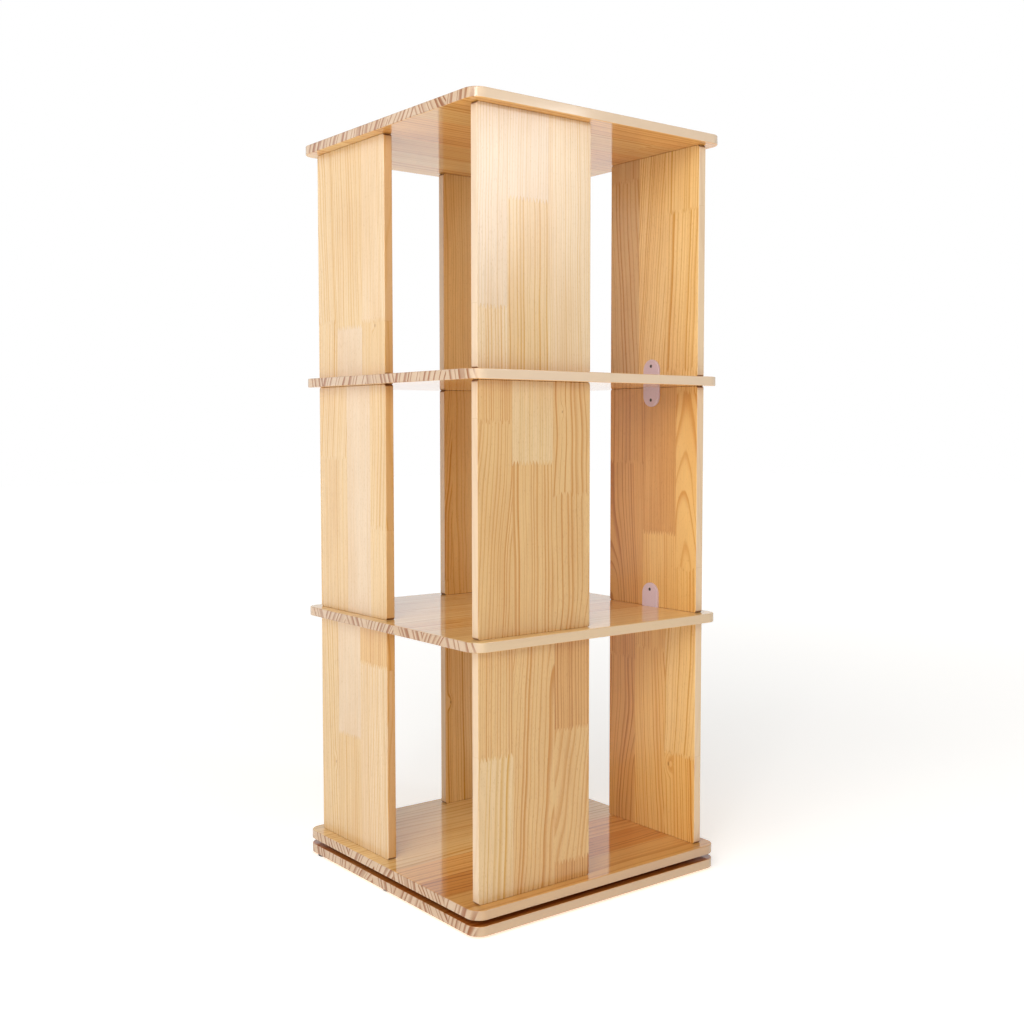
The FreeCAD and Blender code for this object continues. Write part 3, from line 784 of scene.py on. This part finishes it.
def screw_tree():
    """Wood screws at points: a crowned or flat head with a cross recess, a core, a thread and a tip.
    Each point's own aim says where its head faces."""
    tree, given = group_tree(
        SCREW_GROUP, "GeometryNodeTree",
        {"Geometry": ("Geometry",), "Material": ("Material",), "Int": ("Sides",), "Vector": ("Recess bar",),
         "Float": ("Face radius", "Head radius", "Core radius", "Crown height", "Rim height", "Seat height",
                   "Core length", "Tip length", "Thread turns", "Thread size")},
        {"Geometry": ("Geometry",)})

    # The turned body: rings of the same sides, one under the other, from the head's face down
    stack = (
        ("Face radius", "Head radius", "Crown height"),
        ("Head radius", "Head radius", "Rim height"),
        ("Head radius", "Core radius", "Seat height"),
        ("Core radius", "Core radius", "Core length"),
        ("Core radius", None, "Tip length"),
    )
    body = add(tree, "GeometryNodeJoinGeometry").node
    face = add(tree, "GeometryNodeMeshCircle", (given["Sides"], given["Face radius"]), fill_type="NGON")
    tree.links.new(face, body.inputs[0])
    level = 0.0
    for upper, lower, depth in stack:
        level = add(tree, "ShaderNodeMath", (level, given[depth]), operation="SUBTRACT")
        turned = {"Vertices": given["Sides"], "Radius Top": given[upper], "Depth": given[depth],
                  "Radius Bottom": given[lower] if lower else 0.0}
        ring = add(tree, "GeometryNodeMeshCone", turned, fill_type="NONE")
        under = add(tree, "ShaderNodeCombineXYZ", {"Z": level})
        ring = add(tree, "GeometryNodeTransform", {"Geometry": ring, "Translation": under})
        tree.links.new(ring, body.inputs[0])
    closed = add(tree, "GeometryNodeMergeByDistance", {"Geometry": body.outputs[0], "Distance": WELD})

    # The cross recess: two crossed bars cut into the face
    bar = add(tree, "GeometryNodeMeshCube", (given["Recess bar"],))
    quarter = tuple(Euler((0, 0, math.radians(90))))
    crossed = add(tree, "GeometryNodeTransform", {"Geometry": bar, "Rotation": quarter})
    cut = add(tree, "GeometryNodeMeshBoolean", {"Mesh 1": closed},
              operation="DIFFERENCE", solver="EXACT").node
    tree.links.new(bar, cut.inputs["Mesh 2"])
    tree.links.new(crossed, cut.inputs["Mesh 2"])

    # The thread: a sharp ridge wound on the core, from the tip's shoulder up
    rise = add(tree, "ShaderNodeMath", (given["Core length"], THREAD_SHARE), operation="MULTIPLY")
    helix = {"Resolution": 14, "Rotations": given["Thread turns"], "Height": rise,
             "Start Radius": given["Core radius"], "End Radius": given["Core radius"]}
    winding = add(tree, "GeometryNodeCurveSpiral", helix)
    ridge = add(tree, "GeometryNodeCurvePrimitiveCircle", {"Resolution": 3, "Radius": given["Thread size"]})
    thread = add(tree, "GeometryNodeCurveToMesh",
                 {"Curve": winding, "Profile Curve": ridge, "Fill Caps": True})
    shoulder = add(tree, "ShaderNodeMath", (level, given["Tip length"]), operation="ADD")
    shoulder = add(tree, "ShaderNodeCombineXYZ", {"Z": shoulder})
    thread = add(tree, "GeometryNodeTransform", {"Geometry": thread, "Translation": shoulder})

    screw = add(tree, "GeometryNodeJoinGeometry").node
    tree.links.new(cut.outputs["Mesh"], screw.inputs[0])
    tree.links.new(thread, screw.inputs[0])

    # Driven home at any turn
    aim = add(tree, "GeometryNodeInputNamedAttribute", {"Name": "aim"}, data_type="FLOAT_VECTOR")
    turn = add(tree, "FunctionNodeRandomValue", {"Min": 0.0, "Max": math.tau, "Seed": 7}, data_type="FLOAT")
    spun = add(tree, "FunctionNodeAxisAngleToRotation", ((0, 0, 1), turn))
    facing = add(tree, "FunctionNodeAlignRotationToVector", {"Vector": aim}, axis="Z")
    facing = add(tree, "FunctionNodeRotateRotation", (facing, spun), rotation_space="LOCAL")
    placed = add(tree, "GeometryNodeInstanceOnPoints",
                 {"Points": given["Geometry"], "Instance": screw.outputs[0], "Rotation": facing})
    real = add(tree, "GeometryNodeRealizeInstances", {"Geometry": placed})
    painted = add(tree, "GeometryNodeSetMaterial", {"Geometry": real, "Material": given["Material"]})
    add(tree, "NodeGroupOutput", (painted,))
    return tree


def solids_of(node):
    """The box of each separate solid in a construction node."""
    copy = bmesh.new()
    copy.from_mesh(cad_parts[node].data)
    bmesh.ops.remove_doubles(copy, verts=copy.verts, dist=WELD)
    unseen = set(copy.verts)
    boxes = []
    while unseen:
        todo = [unseen.pop()]
        points = []
        while todo:
            vertex = todo.pop()
            points.append(vertex.co.copy())
            near = {edge.other_vert(vertex) for edge in vertex.link_edges} & unseen
            unseen -= near
            todo += near
        low = Vector([min(point[axis] for point in points) for axis in range(3)])
        high = Vector([max(point[axis] for point in points) for axis in range(3)])
        boxes.append((low, high))
    copy.free()
    return sorted(boxes, key=lambda box: tuple(round(value, 4) for value in (*box[0], *box[1])))


def head_place(box, facing):
    """Where a screw has its head, and which way it looks: up, down or inward."""
    low, high = box
    middle, size = (low + high) / 2, high - low
    aim = Vector((0, 0, 0))
    if facing == "inward":
        axis = 0 if size.x > size.y else 1
        aim[axis] = -math.copysign(1, middle[axis])
    else:
        aim.z = 1 if facing == "up" else -1
    return middle + aim * abs(size.dot(aim)) / 2, aim


def make_screws(node, body, facing, kind, material):
    """A construction node's group of wood screws, made by nodes in place of its plain ones. Facing
    is where the heads look, and kind is countersunk or pan."""
    settings = bpy.context.scene.bookcase_screws
    shares = HEAD_SHARES[kind]
    boxes = solids_of(node)
    low, high = boxes[0]
    head = min(high - low) / 2
    core = head * SHANK_SHARE * CORE_SHARE
    crown = head * shares.crown
    rim = head * shares.rim
    seat = (head - core) * shares.seat
    tip = head * SHANK_SHARE * TIP_SHARE
    core_length = max(high - low) - crown - rim - seat - tip
    recess = settings.recess_share * head * 2
    sizes = {
        "Face radius": head * shares.face,
        "Head radius": head,
        "Core radius": core,
        "Crown height": crown,
        "Rim height": rim,
        "Seat height": seat,
        "Core length": core_length,
        "Tip length": tip,
        "Recess bar": (recess, recess * BAR_WIDTH_SHARE, recess * BAR_DEPTH_SHARE),
        "Thread turns": core_length / settings.thread_pitch,
        "Thread size": head * SHANK_SHARE - core,
        "Sides": settings.sides,
        "Material": material,
    }
    name = node.removesuffix("s") + "_set"
    heads = [head_place(box, facing) for box in boxes]
    points = bpy.data.meshes.new(name + "_places")
    points.from_pydata([place for place, _ in heads], [], [])
    aims = points.attributes.new("aim", "FLOAT_VECTOR", "POINT")
    for index, (_, aim) in enumerate(heads):
        aims.data[index].vector = aim

    piece = new_object(name, points)
    tree = bpy.data.node_groups.get(SCREW_GROUP) or screw_tree()
    modifier = piece.modifiers.new("Screws", "NODES")
    modifier.node_group = tree
    for socket in tree.interface.items_tree:
        if socket.in_out == "INPUT" and socket.name in sizes:
            modifier[socket.identifier] = sizes[socket.name]
    evaluated = piece.evaluated_get(bpy.context.evaluated_depsgraph_get())
    mesh = bpy.data.meshes.new_from_object(evaluated)
    piece.modifiers.clear()
    piece.data = mesh
    mesh.name = name
    mesh.shade_smooth()
    mesh.set_sharp_from_angle(angle=SMOOTH_ANGLE)
    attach(piece, body)
    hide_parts(node)


class BOOKCASE_OT_uprights(bpy.types.Operator):
    """Finish the twelve uprights in lacquered pine"""

    bl_idname = "bookcase.uprights"
    bl_label = "Finish uprights"

    def execute(self, context):
        lacquer = context.scene.bookcase_pine.upright_lacquer
        for tier in TIERS:
            for side in SIDES:
                node = f"{tier}_panel_{side}"
                knots = KNOT_SHARES.get(node, ())
                dress(node, pine_material(node, UPRIGHT_AXES[side], STAVE_SHARES[node], random.Random(node),
                                          UPRIGHT_EDGES[side], lacquer, knots, slit_shadow=True))
        return {"FINISHED"}


class BOOKCASE_OT_boards(bpy.types.Operator):
    """Finish the five square boards in lacquered pine"""

    bl_idname = "bookcase.boards"
    bl_label = "Finish boards"

    def execute(self, context):
        lacquer = context.scene.bookcase_pine.board_lacquer
        for node, tones in BOARD_TONES.items():
            luck = random.Random(BOARD_SEEDS[node])
            dress(node, pine_material(node, BOARD_AXES, board_staves(tones, luck), luck, BOARD_EDGES[node],
                                      lacquer, bare=GAP_FACES.get(node, 0)))
        return {"FINISHED"}


class BOOKCASE_OT_straps(bpy.types.Operator):
    """Finish the eight connecting straps in moulded plastic"""

    bl_idname = "bookcase.straps"
    bl_label = "Finish straps"

    def execute(self, context):
        strap = context.scene.bookcase_fittings.strap
        material = moulded_plastic("Moulded plastic, strap", strap, grit=0.9, roughness=0.5)
        for level in JOINT_LEVELS:
            for side in SIDES:
                dress(f"{level}_strap_{side}", material)
        return {"FINISHED"}


class BOOKCASE_OT_strap_screws(bpy.types.Operator):
    """Make the black screws of the straps"""

    bl_idname = "bookcase.strap_screws"
    bl_label = "Make strap screws"

    def execute(self, context):
        black = context.scene.bookcase_fittings.black_screw
        material = phosphated_steel("Phosphated steel, strap screw", black)
        for level in JOINT_LEVELS:
            node = level + "_strap_screws"
            make_screws(node, "carousel", "inward", "countersunk", material)
        return {"FINISHED"}


class BOOKCASE_OT_board_screws(bpy.types.Operator):
    """Make the long screws through the top board and the bottom shelf"""

    bl_idname = "bookcase.board_screws"
    bl_label = "Make board screws"

    def execute(self, context):
        zinc = context.scene.bookcase_fittings.bright_screw
        material = zinc_plated_steel("Zinc-plated steel, wood screw", zinc, spangle=0.8)
        make_screws("top_board_screws", "carousel", "up", "countersunk", material)
        make_screws("bottom_shelf_screws", "carousel", "down", "countersunk", material)
        return {"FINISHED"}


class BOOKCASE_OT_swivel(bpy.types.Operator):
    """Finish the swivel's plates, cage and balls"""

    bl_idname = "bookcase.swivel"
    bl_label = "Finish swivel"

    def execute(self, context):
        fittings = context.scene.bookcase_fittings
        sheet = zinc_plated_steel("Galvanised steel, swivel plate", fittings.plate, spangle=6.0)
        dress("swivel_lower_plate", sheet)
        dress("swivel_upper_plate", sheet)
        dress("bearing_balls", polished_steel("Polished steel, ball", fittings.ball))
        nylon = moulded_plastic("Undyed nylon, ball cage", fittings.cage, grit=0.5, roughness=0.45)
        dress("ball_cage", nylon)
        return {"FINISHED"}


class BOOKCASE_OT_swivel_screws(bpy.types.Operator):
    """Make the pan-head screws of the swivel plates"""

    bl_idname = "bookcase.swivel_screws"
    bl_label = "Make swivel screws"

    def execute(self, context):
        zinc = context.scene.bookcase_fittings.bright_screw
        material = zinc_plated_steel("Zinc-plated steel, pan screw", zinc, spangle=0.8)
        make_screws("swivel_lower_screws", "base", "up", "pan", material)
        make_screws("swivel_upper_screws", "carousel", "down", "pan", material)
        return {"FINISHED"}


class BOOKCASE_OT_dowels(bpy.types.Operator):
    """Finish the dowels through the middle shelves"""

    bl_idname = "bookcase.dowels"
    bl_label = "Finish dowels"

    def execute(self, context):
        material = turned_beech("Bare beech, dowel", context.scene.bookcase_fittings.dowel)
        for level in JOINT_LEVELS:
            dress(level + "_dowels", material)
        return {"FINISHED"}


class BOOKCASE_OT_feet(bpy.types.Operator):
    """Finish the rubber pads under the base"""

    bl_idname = "bookcase.feet"
    bl_label = "Finish feet"

    def execute(self, context):
        dress("base_feet", foam_rubber("Foam rubber, pad", context.scene.bookcase_fittings.pad))
        return {"FINISHED"}


# The stage, in metres and degrees: a pale floor, soft light and the photograph's own camera

CAMERA_PLACE = (-1.027123, -1.349076, 0.588365)
CAMERA_YAW = 38.169
CAMERA_PITCH = -3.399
CAMERA_SHIFT_SHARES = (-0.01525, -0.00716)
SENSOR_WIDTH = 36
FLOOR_HALF = 12.0
GLOW_REACHES = (0.4, 3.0)

# Softboxes: where each stands, what it looks at, its width and height, and over what share of its
# height its light fades out at the foot
LAMPS = {
    "key": ((1.05, -1.80, 1.16), (-0.1, -0.18, 1.16), 0.42, 0.57, 0.9),
    "side": ((-1.17, 2.2, 0.8), (-0.18, 0.1, 0.8), 1.0, 1.6, 0.0),
    "fill": ((-2.9, -0.9, 1.1), (0.0, 0.0, 0.5), 2.6, 1.8, 0.0),
    "top": ((-1.9, -0.8, 2.5), (-0.1, -0.1, 0.3), 1.4, 1.4, 0.0),
    "front": ((-1.8, -1.8, 1.7), (0.0, 0.0, 0.5), 0.9, 1.2, 0.0),
}


def seen_directly(tree):
    """1 for rays from the camera, and for what gloss and glass show."""
    path = add(tree, "ShaderNodeLightPath").node.outputs
    seen = add(tree, "ShaderNodeMath", (path["Is Camera Ray"], path["Is Glossy Ray"]), operation="MAXIMUM")
    return add(tree, "ShaderNodeMath", (seen, path["Is Transmission Ray"]), operation="MAXIMUM")


def build_world(ambient):
    """White all round: full strength for the camera and in reflections, softer as a light."""
    world = bpy.data.worlds.new("Studio")
    bpy.context.scene.world = world
    world.use_nodes = True
    tree = world.node_tree
    tree.nodes.clear()
    strength = add(tree, "ShaderNodeMapRange", (seen_directly(tree), 0, 1, ambient, 1))
    background = add(tree, "ShaderNodeBackground", {"Color": (1, 1, 1, 1), "Strength": strength})
    add(tree, "ShaderNodeOutputWorld", (background,))


def build_floor(stage):
    """A wide pale floor that still takes the bookcase's shadow."""
    mesh = bpy.data.meshes.new("floor")
    corners = [(x * FLOOR_HALF, y * FLOOR_HALF, 0) for x, y in ((-1, -1), (1, -1), (1, 1), (-1, 1))]
    mesh.from_pydata(corners, [], [(0, 1, 2, 3)])
    floor = new_object("floor", mesh)
    material, tree = new_material("Matt paper, floor")
    paint = add(tree, "ShaderNodeBsdfDiffuse", {"Color": tuple(stage.floor)})
    away = add(tree, "ShaderNodeTexCoord", out="Object")
    away = add(tree, "ShaderNodeVectorMath", (away,), operation="LENGTH")
    strength = add(tree, "ShaderNodeMapRange", (away, *GLOW_REACHES, stage.near_glow, stage.far_glow))
    strength = add(tree, "ShaderNodeMix", (seen_directly(tree), stage.bounce, strength))
    glow = add(tree, "ShaderNodeEmission", {"Color": tuple(stage.floor), "Strength": strength})
    both = add(tree, "ShaderNodeAddShader", (paint, glow))
    add(tree, "ShaderNodeOutputMaterial", (both,))
    mesh.materials.append(material)


def soft_lamp(name, watts, place, aim, width, height, fade_share):
    """A rectangular softbox that looks at a point."""
    lamp = bpy.data.lights.new(name, "AREA")
    lamp.shape = "RECTANGLE"
    lamp.size = width
    lamp.size_y = height
    lamp.energy = watts
    if fade_share:
        lamp.use_nodes = True
        tree = lamp.node_tree
        tree.nodes.clear()
        up = add(tree, "ShaderNodeNewGeometry", out="Parametric")
        up = add(tree, "ShaderNodeSeparateXYZ", (up,), out="Y")
        strength = add(tree, "ShaderNodeMapRange", (up, 0, fade_share))
        emission = add(tree, "ShaderNodeEmission", {"Strength": strength})
        add(tree, "ShaderNodeOutputLight", (emission,))
    holder = new_object(name, lamp)
    holder.location = place
    holder.rotation_euler = (Vector(aim) - Vector(place)).to_track_quat("-Z", "Y").to_euler()


def build_camera(stage):
    """The camera that the photograph was taken with, as far as its perspective tells."""
    camera = bpy.data.cameras.new("camera")
    camera.lens = stage.lens
    camera.sensor_width = SENSOR_WIDTH
    camera.shift_x, camera.shift_y = CAMERA_SHIFT_SHARES
    holder = new_object("camera", camera)
    holder.location = CAMERA_PLACE
    holder.rotation_euler = (math.radians(90 + CAMERA_PITCH), 0, -math.radians(CAMERA_YAW))
    bpy.context.scene.camera = holder


class BOOKCASE_OT_stage(bpy.types.Operator):
    """Build the floor, the soft light and the camera"""

    bl_idname = "bookcase.stage"
    bl_label = "Build stage"

    def execute(self, context):
        stage = context.scene.bookcase_stage
        context.scene.view_settings.view_transform = "Standard"
        build_world(stage.ambient)
        build_floor(stage)
        for name, lamp in LAMPS.items():
            soft_lamp(name, getattr(stage, name + "_power"), *lamp)
        build_camera(stage)
        return {"FINISHED"}


OPERATORS = (
    BOOKCASE_OT_uprights,
    BOOKCASE_OT_boards,
    BOOKCASE_OT_straps,
    BOOKCASE_OT_strap_screws,
    BOOKCASE_OT_board_screws,
    BOOKCASE_OT_swivel,
    BOOKCASE_OT_swivel_screws,
    BOOKCASE_OT_dowels,
    BOOKCASE_OT_feet,
    BOOKCASE_OT_stage,
)
SETTINGS = {
    "bookcase_pine": PineSettings,
    "bookcase_fittings": FittingSettings,
    "bookcase_screws": ScrewSettings,
    "bookcase_stage": StageSettings,
}


class BOOKCASE_PT_panel(bpy.types.Panel):
    """Settings and steps of the bookcase"""

    bl_idname = "BOOKCASE_PT_panel"
    bl_label = "Revolving bookcase"
    bl_space_type = "VIEW_3D"
    bl_region_type = "UI"
    bl_category = "Bookcase"

    def draw(self, context):
        for group in SETTINGS:
            settings = getattr(context.scene, group)
            box = self.layout.box()
            for name in settings.__annotations__:
                box.prop(settings, name)
        for operator in OPERATORS:
            self.layout.operator(operator.bl_idname)


def register():
    for group in SETTINGS.values():
        bpy.utils.register_class(group)
    for name, group in SETTINGS.items():
        setattr(bpy.types.Scene, name, PointerProperty(type=group))
    for operator in OPERATORS:
        bpy.utils.register_class(operator)
    bpy.utils.register_class(BOOKCASE_PT_panel)


def unregister():
    bpy.utils.unregister_class(BOOKCASE_PT_panel)
    for operator in reversed(OPERATORS):
        bpy.utils.unregister_class(operator)
    for name, group in SETTINGS.items():
        delattr(bpy.types.Scene, name)
        bpy.utils.unregister_class(group)


def main():
    """Registers the add-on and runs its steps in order."""
    register()
    for operator in OPERATORS:
        module, step = operator.bl_idname.split(".")
        getattr(getattr(bpy.ops, module), step)()


if __name__ == "__main__":
    main()
